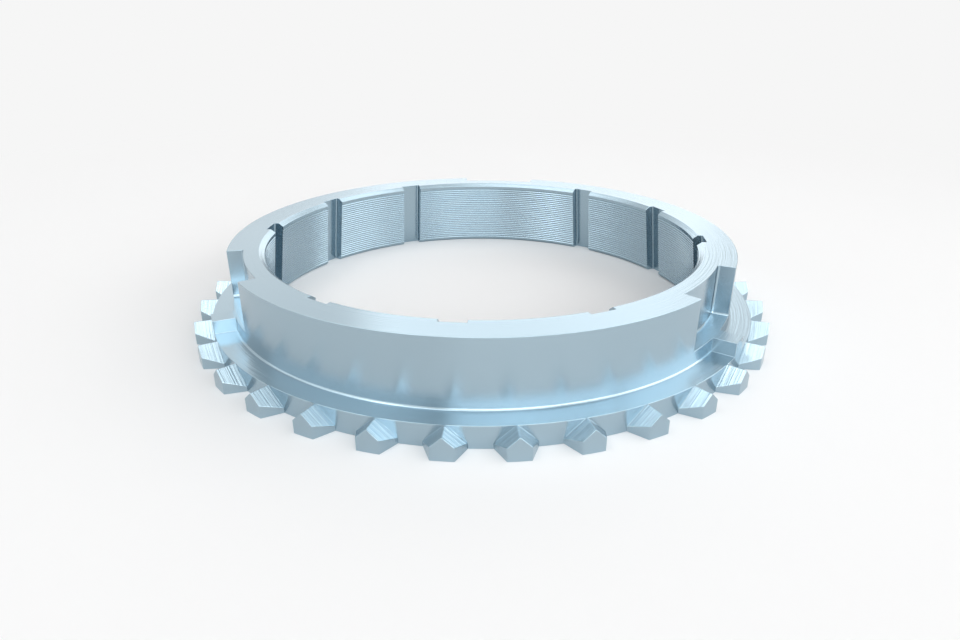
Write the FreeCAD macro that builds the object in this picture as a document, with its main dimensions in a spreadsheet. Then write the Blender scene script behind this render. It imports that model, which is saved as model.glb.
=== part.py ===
"""Synchronizer ring (blocker ring) of a manual gearbox, one turned and milled piece.

The ring lies as it rests on a bench: the toothed flange is at the bottom, the
barrel stands on it, and the axis is Z. The origin is on the axis in the bottom
face. The middle of one key slot points along +Y, so the middle of one lug, with
a tooth exactly below it, points along -Y. Lengths are millimetres, angles degrees.
"""
import FreeCAD, Part
import math
import os

import Sketcher

NODE = "synchronizer_ring"

# Driving sizes: name, value, meaning.
DRIVING = [
    ("overall_height", 12.0, "bottom face to top face"),
    ("cone_large_radius", 34.35, "friction cone at the bottom face"),
    ("cone_half_angle", 8.0, "friction cone against the axis"),
    ("mouth_chamfer", 0.3, "chamfer at the large end of the cone"),
    ("lead_in_width", 1.25, "lead-in at the small end of the cone, along the radius"),
    ("lead_in_depth", 0.5, "lead-in at the small end of the cone, along the axis"),
    ("barrel_wall", 3.65, "large end of the cone to the barrel's outer wall"),
    ("flange_width", 3.1, "barrel wall to flange rim, which is the root of the teeth"),
    ("flange_thickness", 2.95, "bottom face to flange top and to the tooth ridges"),
    ("foot_radius", 0.4, "fillet where the barrel meets the flange"),
    ("slot_count", 3, "key slots round the barrel"),
    ("slot_angle", 20.4, "width of a key slot, as an angle at the axis"),
    ("slot_inset", 2.35, "barrel wall to the back wall of a key slot"),
    ("slot_corner", 0.35, "rounded inner corners of a key slot"),
    ("rib_width", 3.0, "rib that stands on the flange below each slot"),
    ("rib_height", 1.95, "flange top to rib top, which is level with the slot floor"),
    ("grooves_per_lug", 3, "drain grooves in the bore behind each lug"),
    ("groove_step", 30.0, "angle from one of those grooves to the next"),
    ("groove_width", 3.4, "width of a drain groove"),
    ("groove_depth", 1.4, "depth of a drain groove below the cone"),
    ("groove_corner", 0.3, "rounded corners of a groove floor"),
    ("tooth_count", 33, "blocker teeth round the flange"),
    ("tooth_length", 2.5, "flange rim to the outer face of a tooth"),
    ("tooth_tip_width", 2.75, "width of a tooth at its tip"),
    ("tooth_root_width", 5.0, "width of a tooth at the flange rim"),
    ("roof_slope", 42.5, "fall of a tooth's two roof faces from the ridge"),
    ("roof_blend", 0.15, "corner radius of the cutter, between roof face and flange rim"),
    ("roof_land", 0.05, "the cutter stops this far short of the flange rim"),
    ("overrun", 2.0, "how far a cutting outline runs past what it cuts"),
]

# Values worked out from the driving sizes.
DERIVED = [
    ("mouth_radius", "=cone_large_radius + mouth_chamfer"),
    ("mouth_bore", "=cone_large_radius - mouth_chamfer * tan(cone_half_angle)"),
    ("top_bore", "=cone_large_radius - overall_height * tan(cone_half_angle)"),
    ("lead_in_height", "=overall_height - lead_in_depth"),
    ("lead_in_bore", "=cone_large_radius - lead_in_height * tan(cone_half_angle)"),
    ("lead_in_radius", "=lead_in_bore + lead_in_width"),
    ("lead_in_open", "=lead_in_bore - overrun"),
    ("cut_top", "=overall_height + overrun"),
    ("barrel_radius", "=cone_large_radius + barrel_wall"),
    ("foot_outer_radius", "=barrel_radius + foot_radius"),
    ("foot_top", "=flange_thickness + foot_radius"),
    ("flange_radius", "=barrel_radius + flange_width"),
    ("slot_back_radius", "=barrel_radius - slot_inset"),
    ("slot_mouth_radius", "=barrel_radius + overrun"),
    ("slot_floor", "=flange_thickness + rib_height"),
    ("slot_depth", "=overall_height - slot_floor"),
    ("rib_half", "=rib_width / 2"),
    ("rib_inner", "=barrel_radius - slot_inset / 2"),
    ("groove_floor", "=cone_large_radius + groove_depth"),
    ("groove_open", "=cone_large_radius - overrun"),
    ("groove_half", "=groove_width / 2"),
    ("groove_span", "=groove_step * (grooves_per_lug - 1)"),
    ("first_groove", "=90 - 180 / slot_count - groove_span / 2"),
    ("tip_radius", "=flange_radius + tooth_length"),
    ("tip_half", "=tooth_tip_width / 2"),
    ("root_half", "=tooth_root_width / 2"),
    ("tooth_inner", "=flange_radius - flange_width / 2"),
    ("roof_wall", "=flange_radius + roof_land"),
    ("roof_flat", "=roof_wall + roof_blend"),
    ("roof_outside", "=tip_radius + overrun"),
    ("roof_rise", "=root_half * sin(roof_slope) + roof_blend"),
    ("roof_reach", "=root_half / cos(roof_slope) + roof_land"),
]

# Ends of a sketch curve, the sketch origin, a right angle in degrees, which is also the
# direction of +Y, and how closely two lengths must agree.
START, END, CENTRE = range(1, 4)
ORIGIN = (-1, START)
RIGHT_ANGLE = 90
SAME = 1e-3


def make_sheet(doc):
    """Spreadsheet with one named cell for each size."""
    sheet = doc.addObject("Spreadsheet::Sheet", "Sizes")
    rows = [(name, str(value), meaning) for name, value, meaning in DRIVING]
    rows += [(name, formula, "worked out") for name, formula in DERIVED]
    for row, (name, content, meaning) in enumerate(rows, 1):
        sheet.set("A%d" % row, meaning)
        sheet.set("B%d" % row, content)
        sheet.setAlias("B%d" % row, name)
    doc.recompute()
    return sheet


os.makedirs("parts", exist_ok=True)
doc = FreeCAD.newDocument("SynchronizerRing")
sheet = make_sheet(doc)
body = doc.addObject("PartDesign::Body", "Ring")
body.Label = NODE


def size(name):
    """Value of a named size, for the first place of a sketch point; a minus is its negative."""
    if not name:
        return 0.0
    return -size(name[1:]) if name.startswith("-") else float(sheet.get(name))


def place(across, up):
    """First place of a sketch point, from two named sizes."""
    return FreeCAD.Vector(size(across), size(up), 0)


def on_radius(radius, degrees):
    """Point at a named radius and an angle in degrees."""
    angle = math.radians(degrees)
    return FreeCAD.Vector(size(radius) * math.cos(angle), size(radius) * math.sin(angle), 0)


def origin_item(role):
    """Plane or axis of the body's own origin, found by its role."""
    for item in body.Origin.OriginFeatures:
        if item.Role == role:
            return item
    raise ValueError("no origin item " + role)


def new_sketch(name, role, placement=FreeCAD.Placement()):
    """Sketch on one of the body's origin planes, shifted or turned in that plane."""
    sketch = body.newObject("Sketcher::SketchObject", name)
    sketch.AttachmentSupport = [(origin_item(role), "")]
    sketch.MapMode = "FlatFace"
    sketch.AttachmentOffset = placement
    return sketch


def drive(sketch, kind, *where, by):
    """Add a constraint whose value follows a named size."""
    index = sketch.addConstraint(Sketcher.Constraint(kind, *where, size(by)))
    sketch.setExpression("Constraints[%d]" % index, "Sizes." + by)


def hold(sketch, curve, end, across, up):
    """Hold a point at two named sizes from the origin; a minus is the far side, None is zero."""
    point = (curve, end)
    for kind, name, zero_line in (("DistanceX", across, -2), ("DistanceY", up, -1)):
        if not name:
            sketch.addConstraint(Sketcher.Constraint("PointOnObject", *point, zero_line))
        elif name.startswith("-"):
            drive(sketch, kind, *point, *ORIGIN, by=name[1:])
        else:
            drive(sketch, kind, *ORIGIN, *point, by=name)


def join(sketch, *pairs):
    """Make pairs of curve ends meet."""
    for pair in pairs:
        sketch.addConstraint(Sketcher.Constraint("Coincident", *pair))


def straight(sketch, start, end):
    """Line from start to end."""
    return sketch.addGeometry(Part.LineSegment(start, end), False)


def arc(sketch, centre, radius, first, last):
    """Arc of a named radius between two angles in degrees."""
    circle = Part.Circle(centre, FreeCAD.Vector(0, 0, 1), size(radius))
    curve = sketch.addGeometry(Part.ArcOfCircle(circle, math.radians(first), math.radians(last)), False)
    drive(sketch, "Radius", curve, by=radius)
    return curve


def arc_about_axis(sketch, radius, half):
    """Arc centred on the ring's axis, half an angle to either side of upright."""
    curve = arc(sketch, FreeCAD.Vector(0, 0, 0), radius, RIGHT_ANGLE - half, RIGHT_ANGLE + half)
    join(sketch, (curve, CENTRE, *ORIGIN))
    return curve


def closed_run(sketch, corners, rounded_leg=None, centre=None, radius=None, first=None):
    """Closed run of lines through corners held by named sizes; one leg may be a quarter arc."""
    count = len(corners)
    for i in range(count):
        if i == rounded_leg:
            arc(sketch, place(*centre), radius, first, first + RIGHT_ANGLE)
        else:
            straight(sketch, place(*corners[i]), place(*corners[(i + 1) % count]))
    for i in range(count):
        following = (i + 1) % count
        leaves, arrives = (END, START) if i == rounded_leg else (START, END)
        join(sketch, (i, arrives, following, END if following == rounded_leg else START))
        hold(sketch, i, leaves, *corners[i])


def checked(feature, grows):
    """Recompute, and stop if the feature failed or changed the volume the wrong way."""
    before = 0.0 if body.Shape.isNull() else body.Shape.Volume
    doc.recompute()
    if not feature.isValid() or feature.Shape.isNull() or not feature.Shape.isValid():
        raise ValueError(feature.Name + " failed")
    after = feature.Shape.Volume
    if after == before or (after > before) != grows:
        raise ValueError(feature.Name + " did not change the ring as meant")
    print(feature.Name, round(after, 2), "mm3")
    return feature


def turned(kind, name, sketch, grows):
    """Full turn of a section about the ring's axis."""
    feature = body.newObject("PartDesign::" + kind, name)
    feature.Profile = sketch
    feature.ReferenceAxis = (sketch, ["V_Axis"])
    feature.Angle = 360
    return checked(feature, grows)


def milled(kind, name, sketch, length, **settings):
    """Pad or pocket of a named length, with any further settings."""
    feature = body.newObject("PartDesign::" + kind, name)
    feature.Profile = sketch
    for setting, value in settings.items():
        setattr(feature, setting, value)
    feature.setExpression("Length", "Sizes." + length)
    return feature


def polar_step(name, count, angle=None):
    """Polar pattern about the ring's axis, over a whole turn or a named angle."""
    step = body.newObject("PartDesign::PolarPattern", name)
    step.Axis = (origin_item("Z_Axis"), [""])
    step.Angle = 360
    if angle:
        step.setExpression("Angle", "Sizes." + angle)
    step.setExpression("Occurrences", "Sizes." + count)
    return step


def repeated(name, original, count, grows):
    """Copies of a feature over a whole turn."""
    pattern = polar_step(name, count)
    pattern.Originals = [original]
    body.Tip = pattern
    return checked(pattern, grows)


def repeated_twice(name, original, first_step, second_step, grows):
    """Copies of a feature by one step, and copies of all of those by another."""
    pattern = body.newObject("PartDesign::MultiTransform", name)
    pattern.Originals = [original]
    pattern.Transformations = [first_step, second_step]
    body.Tip = pattern
    return checked(pattern, grows)


def rounded(name, radius, wanted, count):
    """Fillet each edge whose two ends, as (height, radius) pairs from low to high, are wanted."""
    edges = []
    for number, edge in enumerate(body.Tip.Shape.Edges, 1):
        ends = sorted((v.Z, math.hypot(v.X, v.Y)) for v in edge.Vertexes)
        if len(ends) == 2 and wanted(*ends[0], *ends[1]):
            edges.append("Edge%d" % number)
    if len(edges) != round(count):
        raise ValueError("%s: %d edges, not %d" % (name, len(edges), count))
    ring_before = body.Tip
    feature = body.newObject("PartDesign::Fillet", name)
    feature.Base = (ring_before, edges)
    feature.setExpression("Radius", "Sizes." + radius)
    return checked(feature, True)


def same(one, other):
    """Two lengths agree."""
    return abs(one - other) < SAME


def turned_blank():
    """Turned section: friction cone with its mouth chamfer, barrel, foot fillet and flange."""
    sketch = new_sketch("TurnedSection", "XZ_Plane")
    corners = [
        ("mouth_radius", None),
        ("flange_radius", None),
        ("flange_radius", "flange_thickness"),
        ("foot_outer_radius", "flange_thickness"),
        ("barrel_radius", "foot_top"),
        ("barrel_radius", "overall_height"),
        ("top_bore", "overall_height"),
        ("mouth_bore", "mouth_chamfer"),
    ]
    foot = 3
    closed_run(sketch, corners, foot, ("foot_outer_radius", "foot_top"), "foot_radius", 180)
    turned("Revolution", "TurnedBlank", sketch, True)


def key_slots():
    """Slots for the sliding keys, from the top face down, with a back wall round the axis."""
    sketch = new_sketch("SlotOutline", "XY_Plane")
    sketch.setExpression("AttachmentOffset.Base.z", "Sizes.overall_height")
    half = size("slot_angle") / 2
    back = arc_about_axis(sketch, "slot_back_radius", half)
    mouth = arc_about_axis(sketch, "slot_mouth_radius", half)
    sides = []
    for end, angle in ((START, RIGHT_ANGLE - half), (END, RIGHT_ANGLE + half)):
        inner, outer = on_radius("slot_back_radius", angle), on_radius("slot_mouth_radius", angle)
        side = straight(sketch, inner, outer)
        join(sketch, (back, end, side, START), (mouth, end, side, END))
        sketch.addConstraint(Sketcher.Constraint("PointOnObject", *ORIGIN, side))
        sides.append(side)
    sketch.addConstraint(Sketcher.Constraint("Symmetric", back, START, back, END, -2))
    right, left = sides
    opening = Sketcher.Constraint("Angle", right, START, left, START, math.radians(2 * half))
    sketch.setExpression("Constraints[%d]" % sketch.addConstraint(opening), "Sizes.slot_angle * 1 deg")
    slot = checked(milled("Pocket", "KeySlot", sketch, "slot_depth"), False)
    repeated("KeySlots", slot, "slot_count", False)


def ribs():
    """Rib on the flange below each slot, from the barrel to the rim, level with the slot floor."""
    sketch = new_sketch("RibOutline", "XY_Plane")
    half, inner = size("rib_half"), size("rib_inner")
    rim_half = math.degrees(math.asin(half / size("flange_radius")))
    rim = arc_about_axis(sketch, "flange_radius", rim_half)
    near_left, near_right = FreeCAD.Vector(-half, inner, 0), FreeCAD.Vector(half, inner, 0)
    left = straight(sketch, on_radius("flange_radius", RIGHT_ANGLE + rim_half), near_left)
    base = straight(sketch, near_left, near_right)
    right = straight(sketch, near_right, on_radius("flange_radius", RIGHT_ANGLE - rim_half))
    join(sketch, (rim, END, left, START), (left, END, base, START))
    join(sketch, (base, END, right, START), (right, END, rim, START))
    for side in (left, right):
        sketch.addConstraint(Sketcher.Constraint("Vertical", side))
    sketch.addConstraint(Sketcher.Constraint("Symmetric", base, START, base, END, -2))
    hold(sketch, base, END, "rib_half", "rib_inner")
    rib = checked(milled("Pad", "Rib", sketch, "slot_floor"), True)
    repeated("Ribs", rib, "slot_count", True)


def slot_corners():
    """Rounded inner corners of a slot: back wall to sides and floor, and floor to sides."""
    back, wall, floor = size("slot_back_radius"), size("barrel_radius"), size("slot_floor")

    def wanted(low, low_radius, high, high_radius):
        inside = max(low_radius, high_radius) < wall + SAME
        return same(low, floor) and same(min(low_radius, high_radius), back) and inside

    rounded("SlotCorners", "slot_corner", wanted, 5 * size("slot_count"))


def drain_grooves():
    """Oil grooves in the bore, cut parallel to the cone and spread evenly behind each lug."""
    turn = FreeCAD.Rotation(FreeCAD.Vector(0, 0, 1), size("first_groove"))
    sketch = new_sketch("GrooveOutline", "XY_Plane", FreeCAD.Placement(FreeCAD.Vector(0, 0, 0), turn))
    sketch.setExpression("AttachmentOffset.Rotation.Angle", "Sizes.first_groove")
    corners = [
        ("groove_open", "-groove_half"),
        ("groove_floor", "-groove_half"),
        ("groove_floor", "groove_half"),
        ("groove_open", "groove_half"),
    ]
    closed_run(sketch, corners)
    groove = milled("Pocket", "DrainGroove", sketch, "cut_top", UseCustomVector=True)
    groove.Direction = FreeCAD.Vector(0, 0, 1)
    groove.setExpression("Direction.x", "-sin(Sizes.cone_half_angle) * cos(Sizes.first_groove)")
    groove.setExpression("Direction.y", "-sin(Sizes.cone_half_angle) * sin(Sizes.first_groove)")
    groove.setExpression("Direction.z", "cos(Sizes.cone_half_angle)")
    checked(groove, False)
    behind_one_lug = polar_step("BehindOneLug", "grooves_per_lug", "groove_span")
    each_lug = polar_step("EachLug", "slot_count")
    repeated_twice("DrainGrooves", groove, behind_one_lug, each_lug, False)


def groove_corners():
    """Rounded corners along both sides of each groove floor."""
    floor = math.hypot(size("groove_floor"), size("groove_half"))
    top = size("overall_height")

    def wanted(low, low_radius, high, high_radius):
        return same(low, 0) and same(high, top) and same(low_radius, floor)

    rounded("GrooveCorners", "groove_corner", wanted, 2 * size("grooves_per_lug") * size("slot_count"))


def lead_in():
    """Shallow lead-in at the small end of the cone, turned after the grooves."""
    sketch = new_sketch("LeadInSection", "XZ_Plane")
    corners = [
        ("lead_in_radius", "overall_height"),
        ("lead_in_radius", "cut_top"),
        ("lead_in_open", "cut_top"),
        ("lead_in_open", "lead_in_height"),
        ("lead_in_bore", "lead_in_height"),
    ]
    closed_run(sketch, corners)
    turned("Groove", "LeadIn", sketch, False)


def blank_teeth():
    """Teeth before pointing: as thick as the flange, with flanks that narrow to the tip."""
    half_turn = FreeCAD.Rotation(FreeCAD.Vector(0, 0, 1), 180)
    sketch = new_sketch("ToothOutline", "XY_Plane", FreeCAD.Placement(FreeCAD.Vector(0, 0, 0), half_turn))
    tip_half_angle = math.degrees(math.asin(size("tip_half") / size("tip_radius")))
    root_up = math.sqrt(size("flange_radius") ** 2 - size("root_half") ** 2)
    root = FreeCAD.Vector(size("root_half"), root_up, 0)
    outer = on_radius("tip_radius", RIGHT_ANGLE - tip_half_angle)
    inner = root + (root - outer) * ((root_up - size("tooth_inner")) / (outer.y - root_up))
    tip = arc_about_axis(sketch, "tip_radius", tip_half_angle)
    far_inner = FreeCAD.Vector(-inner.x, inner.y, 0)
    right = straight(sketch, outer, inner)
    base = straight(sketch, inner, far_inner)
    left = straight(sketch, far_inner, on_radius("tip_radius", RIGHT_ANGLE + tip_half_angle))
    join(sketch, (tip, START, right, START), (right, END, base, START))
    join(sketch, (base, END, left, START), (left, END, tip, END))
    for curve in (tip, base):
        sketch.addConstraint(Sketcher.Constraint("Symmetric", curve, START, curve, END, -2))
    drive(sketch, "DistanceX", *ORIGIN, tip, START, by="tip_half")
    drive(sketch, "DistanceY", *ORIGIN, base, START, by="tooth_inner")
    flank_root = sketch.addGeometry(Part.Point(root), True)
    drive(sketch, "DistanceX", *ORIGIN, flank_root, START, by="root_half")
    drive(sketch, "Distance", *ORIGIN, flank_root, START, by="flange_radius")
    sketch.addConstraint(Sketcher.Constraint("PointOnObject", flank_root, START, right))
    tooth = checked(milled("Pad", "Tooth", sketch, "flange_thickness"), True)
    repeated("Teeth", tooth, "tooth_count", True)


def pointed_roofs():
    """Roof faces of the teeth: a cutter with rounded corners runs down from the ridge, to either side."""
    tilt = FreeCAD.Rotation(FreeCAD.Vector(1, 0, 0), size("roof_slope"))
    lift = FreeCAD.Vector(0, size("flange_thickness"), 0)
    sketch = new_sketch("RoofSection", "YZ_Plane", FreeCAD.Placement(lift, tilt))
    sketch.setExpression("AttachmentOffset.Base.y", "Sizes.flange_thickness")
    sketch.setExpression("AttachmentOffset.Rotation.Angle", "Sizes.roof_slope")
    corners = [
        ("-roof_flat", None),
        ("-roof_outside", None),
        ("-roof_outside", "roof_rise"),
        ("-roof_wall", "roof_rise"),
        ("-roof_wall", "roof_blend"),
    ]
    cutter_corner = 4
    closed_run(sketch, corners, cutter_corner, ("-roof_flat", "roof_blend"), "roof_blend", 270)
    cut = checked(milled("Pocket", "RoofCut", sketch, "roof_reach", Reversed=True), False)
    other_side = body.newObject("PartDesign::Mirrored", "OtherSide")
    other_side.MirrorPlane = (origin_item("YZ_Plane"), [""])
    each_tooth = polar_step("EachTooth", "tooth_count")
    repeated_twice("PointedRoofs", cut, other_side, each_tooth, False)


def export_ring():
    """Check every object and the finished ring, then write its solid."""
    for item in doc.Objects:
        if "Invalid" in item.State or "Error" in item.State:
            raise ValueError(item.Name + " is " + ", ".join(item.State))
    shape = body.Shape
    if shape.isNull() or not shape.isValid() or len(shape.Solids) != 1:
        raise ValueError("the ring is not one valid solid")
    shape.exportStep("parts/" + NODE + ".step")
    print(NODE, "volume", round(shape.Volume, 2), "mm3")


turned_blank()
key_slots()
ribs()
slot_corners()
drain_grooves()
groove_corners()
lead_in()
blank_teeth()
pointed_roofs()
export_ring()
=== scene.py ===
"""Looks of the synchronizer ring, one piece of turned and milled steel.

The whole ring is one closed mesh. It is worked out for one lug and the third of the
flange below it, from the middle of one key slot to the middle of the next, and turned
three times about the axis. Flat faces are single polygons and all others are grids of
quads. The ring's lengths below are millimetres and angles degrees; its mesh, the backdrop, the
lamps and the camera are in metres.
"""
import math

import bmesh
import bpy
import numpy as np
from mathutils import Matrix, Vector


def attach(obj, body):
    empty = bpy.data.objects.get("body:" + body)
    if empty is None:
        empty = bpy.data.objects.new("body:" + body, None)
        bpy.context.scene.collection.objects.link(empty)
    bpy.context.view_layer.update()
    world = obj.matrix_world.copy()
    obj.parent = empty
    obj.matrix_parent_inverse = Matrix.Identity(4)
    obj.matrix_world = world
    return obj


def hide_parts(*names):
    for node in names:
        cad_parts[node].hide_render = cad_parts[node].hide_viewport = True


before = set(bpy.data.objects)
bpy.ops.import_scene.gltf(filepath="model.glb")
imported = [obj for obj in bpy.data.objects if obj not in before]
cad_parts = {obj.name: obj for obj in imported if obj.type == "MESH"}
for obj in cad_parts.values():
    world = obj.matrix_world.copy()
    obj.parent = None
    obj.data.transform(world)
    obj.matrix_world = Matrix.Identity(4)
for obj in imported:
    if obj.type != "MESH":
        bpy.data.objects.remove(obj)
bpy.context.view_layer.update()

NODE = "synchronizer_ring"
MM = 0.001

# Heights above the bottom face, radii about the axis.
TOP, FLANGE, SLOT_FLOOR = 12.0, 2.95, 4.9
BARREL, RIM, SLOT_BACK = 38.0, 41.1, 35.65

# Friction cone: mouth chamfer, cone, lead-in, and the fine thread cut into the cone.
MOUTH, MOUTH_RISE = 34.65, 0.3
CONE, CONE_SLOPE = 34.35, math.tan(math.radians(8.0))
LEAD_IN, LEAD_IN_DEPTH = 33.45, 0.55
THREAD_PITCH, THREAD_DEPTH, THREAD_MARGIN = 0.4, 0.11, 0.35

# Drain grooves: angles, half width, and how far out the floor lies at the bottom and at the top.
# Middles of the pads between them, and the width of a pad's quads.
GROOVES = (-30.0, 0.0, 30.0)
GROOVE_HALF = 1.7
GROOVE_FLOOR = np.array([35.75, 34.12])
PADS = (-45.0, -15.0, 15.0, 45.0)
PAD_STEP = 2.5

# One third of the ring. Angles start at the middle of its lug, and rise to the right seen from
# outside.
LUGS = 3
THIRD = 60.0
SLOT_EDGE = 49.8

# Teeth: radius and half width at the tip, half width at the rim, fall of the roof faces, half of
# the flat left on the ridge, height of the roof's lower edge.
TEETH_PER_LUG = 11
PITCH = 120.0 / TEETH_PER_LUG
TIP, TIP_HALF, ROOT_HALF = 43.6, 1.375, 2.5
ROOF_SLOPE = math.tan(math.radians(42.5))
RIDGE_HALF = 0.06
EAVE = FLANGE - (ROOT_HALF - RIDGE_HALF) * ROOF_SLOPE

# Gap between two teeth at the rim, and the rib, which fills one gap.
GAP_HALF = PITCH / 2 - math.degrees(math.asin(ROOT_HALF / RIM))
RIB_HALF = RIM * math.sin(math.radians(GAP_HALF))
RIB_FOOT = THIRD - math.degrees(math.asin(RIB_HALF / BARREL))
RIB_END = THIRD - GAP_HALF

# Rows of angles that neighbouring faces share.
LUG = np.linspace(-SLOT_EDGE, SLOT_EDGE, 51)
SHOULDER = np.linspace(SLOT_EDGE, RIB_FOOT, 4)
SLOT_ARC = np.linspace(SLOT_EDGE, THIRD, 6)
RIB_ARC = np.linspace(RIB_END, THIRD, 3)
GAPS = (np.arange(TEETH_PER_LUG - 1) - TEETH_PER_LUG // 2 + 0.5) * PITCH

# Rounding of the edges: outer corners, roofs of the teeth to the rim, inner corners of slots and of
# drain grooves, barrel's foot.
CORNER, CUTTER_CORNER, SLOT_CORNER, GROOVE_CORNER, FOOT = 0.05, 0.04, 0.35, 0.25, 0.30

# Edges that turn by more than the first angle are rounded, and by more than the second shaded
# sharp; a tooth's ridge turns by less than the third. NEAR is how closely a radius or a height has
# to agree, and WELD how near points are made one.
ROUNDED_TURN, SHARP_TURN, RIDGE_TURN = 30.0, 20.0, 60.0
NEAR, WELD = 0.02, 0.002

# Turning marks: how coarse the noise is, how deep its relief, the share of that on the teeth and
# on level faces, and how far a mark strays from a full circle.
MARK_WIDTH, MARK_RELIEF = 0.24, 0.13
TEETH_SHARE, LEVEL_SHARE, STRAY = 0.8, 0.3, 0.02

# Studio, in metres: colour of paper and room; how strongly the room lights things; how far from
# the ring the paper starts to show as its plain colour, and where it does so wholly.
PALE_GREY = "#F6F6F6"
ROOM_LIGHT = 0.05
MATT_TO, PLAIN_FROM = 0.06, 0.2

# Backdrop, in metres: front edge, start and radius of its bend, height, half width.
PAPER_FRONT, BEND_START, BEND_RADIUS, PAPER_TOP, PAPER_HALF = -2.0, 1.3, 0.5, 1.9, 3.0

# Camera, fitted to the ring's edges in the photograph: focal length and picture width in pixels,
# place in metres, and direction.
FOCAL_PIXELS, PICTURE_PIXELS = 686.3, 960
CAMERA_PLACE = (0.00996, -0.10313, 0.04370)
CAMERA_AIM = (-0.0897, 0.9069, -0.4116)


def polar(radius, angle, z):
    """Points at a radius, an angle and a height: x = radius sin(angle), y = -radius cos(angle)."""
    radius, angle, z = np.broadcast_arrays(radius, np.radians(angle), z)
    return np.stack([radius * np.sin(angle), -radius * np.cos(angle), z], axis=-1)


def beside(radius, across, middle, z):
    """Points at a radius, and at a distance across from the radial line at the middle angle."""
    return polar(radius, middle + np.degrees(np.arcsin(across / radius)), z)


def at_height(points, z):
    """The same points at another height."""
    moved = points.copy()
    moved[..., 2] = z
    return moved


def chain(*runs):
    """Several runs of points as one."""
    return np.concatenate([run.reshape(-1, 3) for run in runs])


def apron(inner, outer, cuts):
    """Flat polygons between two runs of rising angle, divided at the points nearest to the cuts."""
    ends = []
    for run in (inner, outer):
        angle = np.degrees(np.arctan2(run[:, 0], -run[:, 1]))
        nearest = np.argmin(abs(angle[:, None] - np.array(cuts)), axis=0)
        ends.append([0, *nearest, len(run) - 1])
    first, second = ends
    return [
        chain(inner[first[i]:first[i + 1] + 1], outer[second[i]:second[i + 1] + 1][::-1])
        for i in range(len(first) - 1)
    ]


def cone_profile():
    """Radius and height of the bore from bottom to top: mouth chamfer, fine thread, lead-in.

    Each turn of the thread is a flat land on the cone and a flat-bottomed furrow, at shares
    0, 0.3, 0.5 and 0.8 of the pitch. Radius = cone radius - slope times height + depth of cut.
    """
    first = MOUTH_RISE + THREAD_MARGIN
    end = TOP - LEAD_IN_DEPTH - THREAD_MARGIN - THREAD_PITCH
    start = np.arange(first, end, THREAD_PITCH)
    turns = (start[:, None] + THREAD_PITCH * np.array([0.0, 0.3, 0.5, 0.8])).ravel()
    cut = np.tile([0.0, THREAD_DEPTH, THREAD_DEPTH, 0.0], len(start))
    height = np.concatenate([[MOUTH_RISE], turns, [TOP - LEAD_IN_DEPTH]])
    radius = CONE - CONE_SLOPE * height + np.concatenate([[0.0], cut, [0.0]])
    return np.concatenate([[MOUTH], radius, [LEAD_IN]]), np.concatenate([[0.0], height, [TOP]])


def bore():
    """Threaded cone in four pads, with a milled drain groove between each two.

    A pad is the profile carried round the axis: its angle runs evenly from its left to its right
    edge in every row. A groove has two flat walls, which start at the pads' cut threads, and a
    flat floor. Gives grids, flat faces, and the edges of the bottom and of the top face.
    """
    radius, height = cone_profile()
    half = np.degrees(np.arcsin(GROOVE_HALF / radius))
    grids, flats, bottom, top = [], [], [], []
    left = np.full_like(radius, -THIRD)
    for middle in (*GROOVES, None):
        right = np.full_like(radius, THIRD) if middle is None else middle - half
        share = np.linspace(0, 1, 2 + round((right[0] - left[0]) / PAD_STEP))
        pad = polar(radius[:, None], left[:, None] + share * (right - left)[:, None], height[:, None])
        grids.append(pad)
        bottom.append(pad[0])
        top.append(pad[-1])
        if middle is None:
            return grids, flats, chain(*bottom), chain(*top)
        floor_line = polar(GROOVE_FLOOR, middle, np.array([0, TOP]))
        sides = [floor_line + polar(side * GROOVE_HALF, middle + 90, 0) for side in (-1, 1)]
        for side, foot in zip((-1, 1), sides):
            flats.append(chain(beside(radius, side * GROOVE_HALF, middle, height), foot[::-1]))
        floor = np.stack(sides, axis=1)
        grids.append(floor)
        bottom.append(floor[0])
        top.append(floor[-1])
        left = middle + half


def barrel():
    """Outer wall of the lug, and at both its ends half a key slot and half a rib.

    All walls are upright: a row of points carried from one height to the next. The floor of the
    slot and the top of the rib are one flat face.
    """
    low, high = np.array([[FLANGE], [SLOT_FLOOR]]), np.array([[SLOT_FLOOR], [TOP]])
    grids, flats = [polar(BARREL, LUG, np.array([[FLANGE], [SLOT_FLOOR], [TOP]]))], []
    for side in (-1, 1):
        grids.append(polar(BARREL, side * SHOULDER, low))
        grids.append(polar(SLOT_BACK, side * SLOT_ARC, high))
        grids.append(polar(np.array([SLOT_BACK, BARREL]), side * SLOT_EDGE, high))
        grids.append(polar(np.array([BARREL, RIM]), side * np.array([RIB_FOOT, RIB_END]), low))
        back = polar(SLOT_BACK, side * SLOT_ARC[::-1], SLOT_FLOOR)
        shoulder = polar(BARREL, side * SHOULDER, SLOT_FLOOR)
        flats.append(chain(back, shoulder, polar(RIM, side * RIB_ARC, SLOT_FLOOR)))
    return grids, flats


def tooth_roof():
    """Radius, distance across and height of half a tooth's roof, from the rim to the tip.

    A row runs from the ridge to the tapered flank, and falls evenly:
    height = flange - (across - ridge half) tan(slope).
    """
    radius = np.linspace(RIM, TIP, 4)[:, None]
    flank = ROOT_HALF + (TIP_HALF - ROOT_HALF) * (radius - RIM) / (TIP - RIM)
    across = RIDGE_HALF + np.linspace(0, 1, 5) * (flank - RIDGE_HALF)
    return radius, across, FLANGE - (across - RIDGE_HALF) * ROOF_SLOPE


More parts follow.
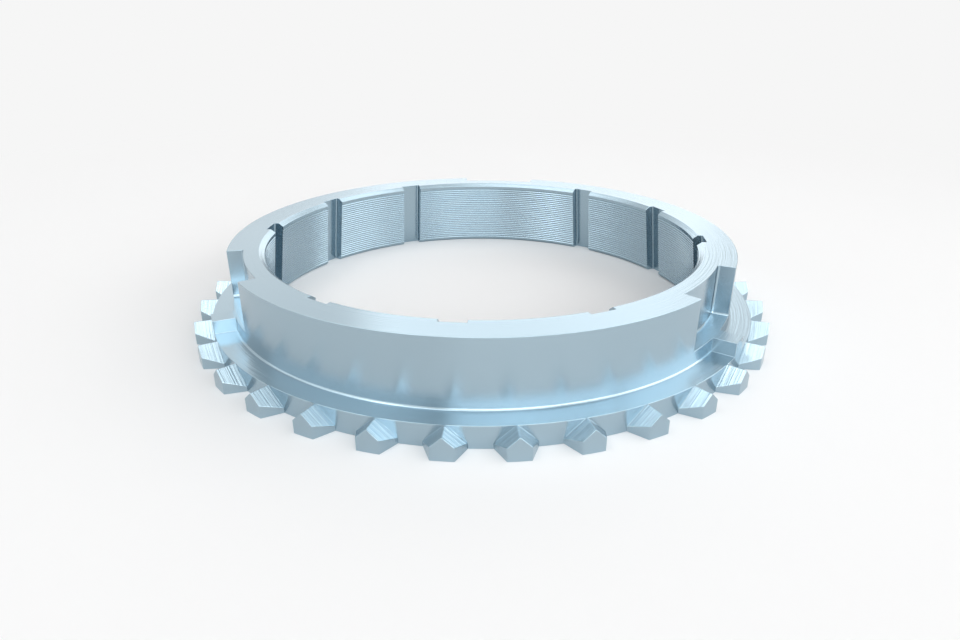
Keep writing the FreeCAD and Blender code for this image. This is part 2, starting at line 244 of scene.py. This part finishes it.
def tooth(middle):
    """One pointed tooth: two roof faces, ridge, tip, flanks, and the wall its roof leaves in the rim.

    Gives grids, and the tooth's edge in the bottom face and in the flange's top face.
    """
    radius, across, height = tooth_roof()
    left, right = [beside(radius, side * across, middle, height) for side in (-1, 1)]
    tip = chain(left[-1][::-1], right[-1])
    ridge = np.stack([left[:, 0], right[:, 0]], axis=1)
    grids = [left, right, ridge, np.stack([tip, at_height(tip, 0)])]
    for half in (left, right):
        grids.append(np.stack([half[0], at_height(half[0], FLANGE)]))
        grids.append(np.stack([half[:, -1], at_height(half[:, -1], 0)]))
    bottom = at_height(chain(left[:, -1], tip[1:-1], right[::-1, -1]), 0)
    return grids, bottom, at_height(chain(left[0][::-1], right[0]), FLANGE)


def tooth_row():
    """Eleven teeth, and the rim between them, which rises to the rib's top at both ends.

    Gives grids, and the edges of the bottom face and of the flange's top face.
    """
    levels = np.array([[0.0], [EAVE], [FLANGE]])
    grids = [polar(RIM, gap + np.array([-GAP_HALF, 0, GAP_HALF]), levels) for gap in GAPS]
    grids += [polar(RIM, side * RIB_ARC, np.append(levels, [[SLOT_FLOOR]], axis=0)) for side in (-1, 1)]
    bottom, top = [polar(RIM, -RIB_ARC[:0:-1], 0)], []
    for k in range(TEETH_PER_LUG):
        faces, low_edge, high_edge = tooth((k - TEETH_PER_LUG // 2) * PITCH)
        grids += faces
        bottom.append(low_edge)
        top.append(high_edge)
        if k < len(GAPS):
            bottom.append(polar(RIM, GAPS[k], 0))
            top.append(polar(RIM, GAPS[k], FLANGE))
    bottom.append(polar(RIM, RIB_ARC[1:], 0))
    return grids, chain(*bottom), chain(*top)


def level_faces(bore_bottom, bore_top, rim_bottom, rim_top):
    """Top face of the lug, top face of the flange and bottom face, each between two edges."""
    lug_edge = chain(
        polar(SLOT_BACK, -SLOT_ARC[::-1], TOP), polar(BARREL, LUG, TOP), polar(SLOT_BACK, SLOT_ARC, TOP)
    )
    foot = polar(BARREL, np.concatenate([-SHOULDER[::-1], LUG[1:-1], SHOULDER]), FLANGE)
    flats = apron(bore_top, lug_edge, PADS)
    flats += apron(foot, rim_top, GAPS)
    return flats + apron(bore_bottom, rim_bottom, GAPS[::3])


def closed_mesh(grids, flats):
    """Three turned copies of the third, welded into one closed mesh with its faces outward."""
    points, faces, count = [], [], 0
    for lug in range(LUGS):
        turn = np.array(Matrix.Rotation(math.radians(lug * 360 / LUGS), 3, "Z"))
        for grid in grids:
            rows, columns = grid.shape[:2]
            index = count + np.arange(rows * columns).reshape(rows, columns)
            quads = np.stack([index[:-1, :-1], index[:-1, 1:], index[1:, 1:], index[1:, :-1]], axis=-1)
            faces += quads.reshape(-1, 4).tolist()
            points.append(grid.reshape(-1, 3) @ turn.T)
            count += rows * columns
        for flat in flats:
            faces.append(list(range(count, count + len(flat))))
            points.append(flat @ turn.T)
            count += len(flat)
    mesh = bpy.data.meshes.new("ring_body")
    mesh.from_pydata((np.concatenate(points) * MM).tolist(), [], faces)
    work = bmesh.new()
    work.from_mesh(mesh)
    bmesh.ops.remove_doubles(work, verts=work.verts, dist=WELD * MM)
    bmesh.ops.dissolve_degenerate(work, edges=work.edges, dist=WELD / 2 * MM)
    bmesh.ops.recalc_face_normals(work, faces=work.faces)
    if not all(edge.is_manifold for edge in work.edges):
        raise ValueError("the ring's mesh isn't closed")
    work.to_mesh(mesh)
    work.free()
    return mesh


def values_of(items, name, width=1, kind=float):
    """One property of all items of a mesh, as an array with a row for each item."""
    values = np.empty(len(items) * width, kind)
    items.foreach_get(name, values)
    return values.reshape(-1, width)


def edge_facts(mesh):
    """Radius and height of both ends of each edge, and the turn between its two faces."""
    points = values_of(mesh.vertices, "co", 3) / MM
    ends = points[values_of(mesh.edges, "vertices", 2, int)]
    normals = values_of(mesh.polygons, "normal", 3)
    loops_per_face = values_of(mesh.polygons, "loop_total", 1, int)[:, 0]
    loop_edge = values_of(mesh.loops, "edge_index", 1, int)[:, 0]
    face_of_loop = np.repeat(np.arange(len(normals)), loops_per_face)
    pair = face_of_loop[np.argsort(loop_edge, kind="stable")].reshape(-1, 2)
    cosine = np.sum(normals[pair[:, 0]] * normals[pair[:, 1]], axis=1)
    turn = np.degrees(np.arccos(np.clip(cosine, -1, 1)))
    return np.hypot(ends[:, :, 0], ends[:, :, 1]), ends[:, :, 2], turn


def edge_rounding(mesh):
    """How far each edge is rounded, in millimetres.

    Corners of more than 30 degrees get a small rounding, the creases between roofs and rim a
    smaller one, and these inner corners a wider one: slots, floors of the drain grooves, foot of
    the barrel. The thread, the ridges of the teeth and the upright corners between rim and flanks
    stay sharp.
    """
    radius, height, turn = edge_facts(mesh)
    low, high = height.min(axis=1), height.max(axis=1)
    inner, outer = radius.min(axis=1), radius.max(axis=1)
    corner = turn > ROUNDED_TURN

    def both(values, target):
        return np.all(abs(values - target) < NEAR, axis=1)

    rounding = np.where(corner, CORNER, 0)
    on_cone = outer < MOUTH - NEAR
    thread = on_cone & (low > MOUTH_RISE - NEAR) & (high < TOP - LEAD_IN_DEPTH + NEAR)
    ridge = both(height, FLANGE) & (inner > RIM - NEAR) & (turn < RIDGE_TURN)
    on_rim = both(radius, RIM)
    flank_root = on_rim & (low < NEAR) & (high > EAVE - NEAR)
    rounding[thread | ridge | flank_root] = 0
    rounding[on_rim & corner & (low > EAVE - NEAR) & (low < FLANGE - NEAR)] = CUTTER_CORNER
    slot_floor = both(height, SLOT_FLOOR) & (outer < BARREL + NEAR) & (inner < SLOT_BACK + NEAR)
    in_slot = (both(radius, SLOT_BACK) | slot_floor) & corner & (low > FLANGE)
    rounding[in_slot & ~both(height, TOP)] = SLOT_CORNER
    rounding[(low < NEAR) & (high > TOP - NEAR)] = GROOVE_CORNER
    rounding[both(radius, BARREL) & both(height, FLANGE)] = FOOT
    return rounding


def linear(hex_colour):
    """Linear colour from an sRGB hex colour."""
    value = np.array([int(hex_colour[i:i + 2], 16) for i in (1, 3, 5)]) / 255
    value = np.where(value <= 0.04045, value / 12.92, ((value + 0.055) / 1.055) ** 2.4)
    return (*value.tolist(), 1.0)


def add_node(tree, kind, inputs=(), **settings):
    """Add a node with its settings. Each input is (socket, value); a node's output is linked."""
    node = tree.nodes.new(kind)
    for name, value in settings.items():
        setattr(node, name, value)
    for socket, value in inputs:
        if isinstance(value, bpy.types.NodeSocket):
            tree.links.new(value, node.inputs[socket])
        else:
            node.inputs[socket].default_value = value
    return node


def new_material(name):
    """Empty node material with its output node."""
    material = bpy.data.materials.new(name)
    material.use_nodes = True
    material.node_tree.nodes.clear()
    return material, material.node_tree, add_node(material.node_tree, "ShaderNodeOutputMaterial")


def turned_steel():
    """Turned and milled carbon steel: satin, a cold grey with a little blue, no coating.

    The tools leave fine marks round the axis, also on the teeth, whose roofs were milled straight
    down from the ridge. So reflections spread across the marks and stay crisp along them. The
    marks are noise of the radius and the height, on the teeth of the radius alone, with a little
    of the place added so that none is a full circle. They are deepest on the teeth, fainter on
    level faces, and absent on the upright turned walls, as in the photograph. A real feed of 0.1
    to 0.2 mm is too fine for the render, so the noise is drawn about twice as coarse.
    """
    material, tree, output = new_material("turned_steel")
    place = add_node(tree, "ShaderNodeTexCoord").outputs["Object"]
    level = add_node(
        tree, "ShaderNodeVectorMath", [(0, place), (1, (1, 1, 0))], operation="MULTIPLY",
    ).outputs[0]
    radius = add_node(tree, "ShaderNodeVectorMath", [(0, level)], operation="LENGTH").outputs["Value"]
    height = add_node(tree, "ShaderNodeSeparateXYZ", [(0, place)]).outputs["Z"]

    # The marks run round the axis; a little of the axis itself keeps the direction clear of the
    # normal on the slots' side walls, which face along the circle.
    outward = add_node(tree, "ShaderNodeVectorMath", [(0, level)], operation="NORMALIZE").outputs[0]
    across = add_node(
        tree, "ShaderNodeVectorMath", [(0, outward), (1, (0, 0, 1))], operation="CROSS_PRODUCT",
    ).outputs[0]
    along_marks = add_node(
        tree, "ShaderNodeVectorMath", [(0, across), (1, (0, 0, 0.05))], operation="ADD",
    ).outputs[0]

    teeth = add_node(
        tree, "ShaderNodeMath", [(0, radius), (1, (RIM + NEAR) * MM)], operation="GREATER_THAN",
    ).outputs[0]
    turned = add_node(tree, "ShaderNodeMath", [(0, 1.0), (1, teeth)], operation="SUBTRACT").outputs[0]
    rise = add_node(tree, "ShaderNodeMath", [(0, height), (1, turned)], operation="MULTIPLY").outputs[0]
    path = add_node(tree, "ShaderNodeCombineXYZ", [("X", radius), ("Y", rise)]).outputs[0]
    wander = add_node(
        tree, "ShaderNodeVectorMath", [(0, place), (1, (STRAY, STRAY, 0)), (2, path)],
        operation="MULTIPLY_ADD",
    ).outputs[0]
    marks = add_node(
        tree, "ShaderNodeTexNoise",
        [("Vector", wander), ("Scale", 1 / (MARK_WIDTH * MM)), ("Detail", 2.0), ("Roughness", 0.6)],
    ).outputs[0]
    normal = add_node(tree, "ShaderNodeNewGeometry").outputs["Normal"]
    upward = add_node(tree, "ShaderNodeSeparateXYZ", [(0, normal)]).outputs["Z"]
    flatness = add_node(tree, "ShaderNodeMath", [(0, upward)], operation="ABSOLUTE").outputs[0]
    turned_depth = add_node(
        tree, "ShaderNodeMapRange", [("Value", flatness), (3, 0.0), (4, LEVEL_SHARE)],
    ).outputs[0]
    depth = add_node(
        tree, "ShaderNodeMath", [(0, teeth), (1, TEETH_SHARE), (2, turned_depth)],
        operation="MULTIPLY_ADD",
    ).outputs[0]
    relief = add_node(
        tree, "ShaderNodeBump",
        [("Height", marks), ("Distance", MARK_RELIEF * MM), ("Strength", depth)],
    ).outputs[0]
    steel = add_node(
        tree, "ShaderNodeBsdfPrincipled",
        [
            ("Base Color", linear("#A3B7C2")), ("Metallic", 1.0), ("Roughness", 0.24),
            ("Anisotropic", 0.8), ("Anisotropic Rotation", 0.25),
            ("Normal", relief), ("Tangent", along_marks),
        ],
    )
    tree.links.new(steel.outputs[0], output.inputs["Surface"])
    return material


def ring():
    """The synchronizer ring: the closed mesh, its rounded edges and its steel."""
    bore_grids, bore_flats, bore_bottom, bore_top = bore()
    barrel_grids, barrel_flats = barrel()
    tooth_grids, rim_bottom, rim_top = tooth_row()
    flats = bore_flats + barrel_flats + level_faces(bore_bottom, bore_top, rim_bottom, rim_top)
    mesh = closed_mesh(bore_grids + barrel_grids + tooth_grids, flats)
    share = mesh.attributes.new("bevel_weight_edge", "FLOAT", "EDGE")
    share.data.foreach_set("value", (edge_rounding(mesh) / FOOT).astype(np.float32))
    mesh.shade_smooth()
    mesh.set_sharp_from_angle(angle=math.radians(SHARP_TURN))
    mesh.materials.append(turned_steel())
    body = bpy.data.objects.new("ring_body", mesh)
    bpy.context.scene.collection.objects.link(body)
    rounded = body.modifiers.new("rounded_edges", "BEVEL")
    rounded.limit_method = "WEIGHT"
    rounded.width = FOOT * MM
    rounded.segments = 3
    rounded.harden_normals = True
    rounded.use_clamp_overlap = False
    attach(body, "root")
    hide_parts(NODE)


def seen(tree):
    """1 for what the camera sees, itself or in the steel, and 0 for the light that falls on things."""
    ray = add_node(tree, "ShaderNodeLightPath").outputs
    either = [(0, ray["Is Camera Ray"]), (1, ray["Is Glossy Ray"])]
    return add_node(tree, "ShaderNodeMath", either, operation="MAXIMUM").outputs[0]


def studio_paper():
    """Seamless pale paper: matt near the ring, so that it takes the ring's soft shadow, and as
    bright as its own colour further out, for the camera and for reflections."""
    material, tree, output = new_material("studio_paper")
    place = add_node(tree, "ShaderNodeTexCoord").outputs["Object"]
    away = add_node(tree, "ShaderNodeVectorMath", [(0, place)], operation="LENGTH").outputs["Value"]
    far = add_node(
        tree, "ShaderNodeMapRange",
        [("Value", away), (1, MATT_TO), (2, PLAIN_FROM), (3, 0.0), (4, 1.0)],
        interpolation_type="SMOOTHSTEP",
    ).outputs[0]
    share = add_node(tree, "ShaderNodeMath", [(0, far), (1, seen(tree))], operation="MULTIPLY").outputs[0]
    grey = linear(PALE_GREY)
    matt = add_node(tree, "ShaderNodeBsdfDiffuse", [("Color", grey)]).outputs[0]
    plain = add_node(tree, "ShaderNodeEmission", [("Color", grey), ("Strength", 1.0)]).outputs[0]
    mix = add_node(tree, "ShaderNodeMixShader", [(0, share), (1, matt), (2, plain)])
    tree.links.new(mix.outputs[0], output.inputs["Surface"])
    return material


def backdrop():
    """Floor that rises behind the ring in a quarter circle: a side profile carried across.

    The profile is the level floor, then along = bend's start + radius sin(turn) and
    up = radius (1 - cos(turn)), then an upright line.
    """
    turn = np.radians(np.linspace(0, 90, 25))
    bend = BEND_START + BEND_RADIUS * np.sin(turn)
    rise = BEND_RADIUS * (1 - np.cos(turn))
    along = np.concatenate([[PAPER_FRONT], bend, [bend[-1]]])
    up = np.concatenate([[0.0], rise, [PAPER_TOP]])
    points = np.zeros((len(along), 2, 3))
    points[:, :, 0] = (-PAPER_HALF, PAPER_HALF)
    points[:, :, 1:] = np.stack([along, up], axis=-1)[:, None]
    index = np.arange(len(along) * 2).reshape(-1, 2)
    quads = np.stack([index[:-1, 0], index[:-1, 1], index[1:, 1], index[1:, 0]], axis=-1)
    mesh = bpy.data.meshes.new("backdrop")
    mesh.from_pydata(points.reshape(-1, 3).tolist(), [], quads.tolist())
    mesh.shade_smooth()
    mesh.materials.append(studio_paper())
    sheet = bpy.data.objects.new("backdrop", mesh)
    bpy.context.scene.collection.objects.link(sheet)


def softbox(name, azimuth, elevation, distance, width, height, brightness):
    """Soft lamp that points at the ring; azimuth runs from straight behind it to the right.

    Its power is brightness times pi times its area, so brightness 1 shows as white in a mirror.
    """
    lamp = bpy.data.lights.new(name, "AREA")
    lamp.shape = "RECTANGLE"
    lamp.size, lamp.size_y = width, height
    lamp.energy = brightness * math.pi * width * height
    holder = bpy.data.objects.new(name, lamp)
    bpy.context.scene.collection.objects.link(holder)
    turn, rise = math.radians(azimuth), math.radians(elevation)
    away = Vector((math.sin(turn) * math.cos(rise), math.cos(turn) * math.cos(rise), math.sin(rise)))
    holder.location = away * distance
    holder.rotation_euler = away.to_track_quat("Z", "Y").to_euler()


def studio():
    """Plain soft light: two large softboxes on the right, and small ones on the left, behind and
    high round the ring. The room is pale to the camera and in the steel, and gives little light."""
    room = bpy.data.worlds.new("studio")
    room.use_nodes = True
    tree = room.node_tree
    surroundings = tree.nodes["Background"]
    surroundings.inputs["Color"].default_value = linear(PALE_GREY)
    strength = add_node(tree, "ShaderNodeMapRange", [("Value", seen(tree)), (3, ROOM_LIGHT), (4, 1.0)])
    tree.links.new(strength.outputs[0], surroundings.inputs["Strength"])
    bpy.context.scene.world = room
    softbox("right", 90, 20, 2.4, 2.4, 1.5, 2.35)
    softbox("front_right", 153, 20, 2.4, 3.0, 1.5, 3.05)
    softbox("left", 236, 22, 1.2, 1.8, 0.5, 0.9)
    softbox("high_front", 190, 71, 1.2, 1.2, 0.7, 1.45)
    softbox("high_left", 252, 58, 1.2, 0.8, 0.5, 1.4)
    softbox("high_right", 66, 54, 1.2, 1.1, 0.65, 1.2)
    softbox("behind", 1, 25, 1.2, 0.7, 0.85, 0.95)
    softbox("high_behind", -62, 68, 1.2, 0.35, 0.95, 1.0)
    softbox("behind_left", -27, 22, 1.2, 0.5, 0.5, 0.25)


def camera():
    """Camera at the photograph's place and angle, with the lens that its perspective gives."""
    lens = bpy.data.cameras.new("camera")
    lens.sensor_width = 36
    lens.lens = lens.sensor_width * FOCAL_PIXELS / PICTURE_PIXELS
    lens.clip_start = 0.005
    holder = bpy.data.objects.new("camera", lens)
    bpy.context.scene.collection.objects.link(holder)
    holder.location = CAMERA_PLACE
    holder.rotation_euler = Vector(CAMERA_AIM).to_track_quat("-Z", "Y").to_euler()
    bpy.context.scene.camera = holder


ring()
backdrop()
studio()
camera()
bpy.context.scene.view_settings.view_transform = "Standard"
